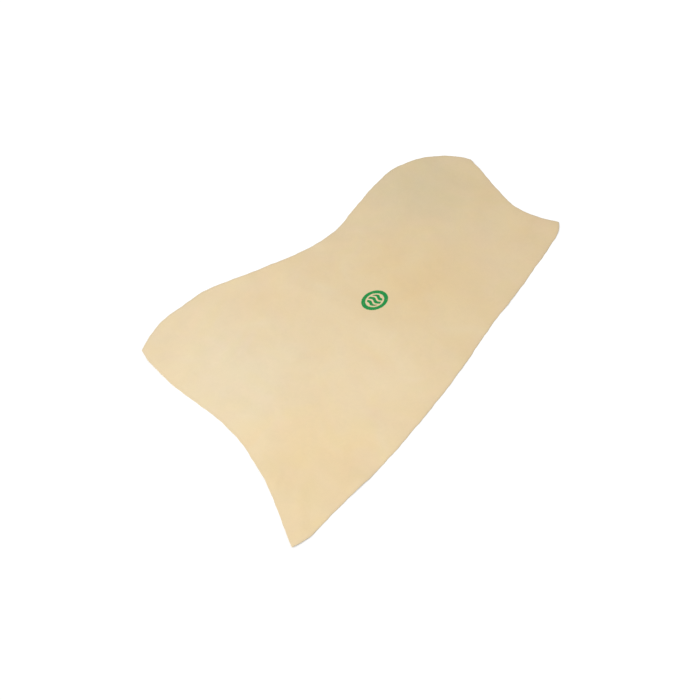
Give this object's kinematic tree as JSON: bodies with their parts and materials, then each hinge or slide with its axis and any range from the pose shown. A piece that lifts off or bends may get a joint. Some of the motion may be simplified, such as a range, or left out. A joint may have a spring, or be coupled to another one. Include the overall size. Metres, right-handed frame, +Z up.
{
  "type": "chamois leather",
  "caption": "Soft pale tan chamois skin with a natural hide outline and a small green ink mark, lying flat; folds in half along its crease and is used to wipe wet surfaces dry.",
  "frame": {"origin": "middle of the skin's box, on the table it lies on", "axes": "+Y along the skin from the wide hind end to the narrower neck end, +Z up off the table, +X across the skin to its straighter edge"},
  "size_m": [0.4782, 0.856, 0.0042],
  "materials": {
    "chamois": "matte napped oil-tanned leather, pale buff, no gloss"
  },
  "bodies": {
    "fore": {"fore_half": "chamois"},
    "hind": {"hind_half": "chamois"}
  },
  "joints": [
    {"name": "fold", "type": "hinge", "parent": "fore", "child": "hind", "pos_m": [0, -0.03, 0.0034], "axis": [-1, 0, 0], "range_deg": [0, 180]}
  ]
}
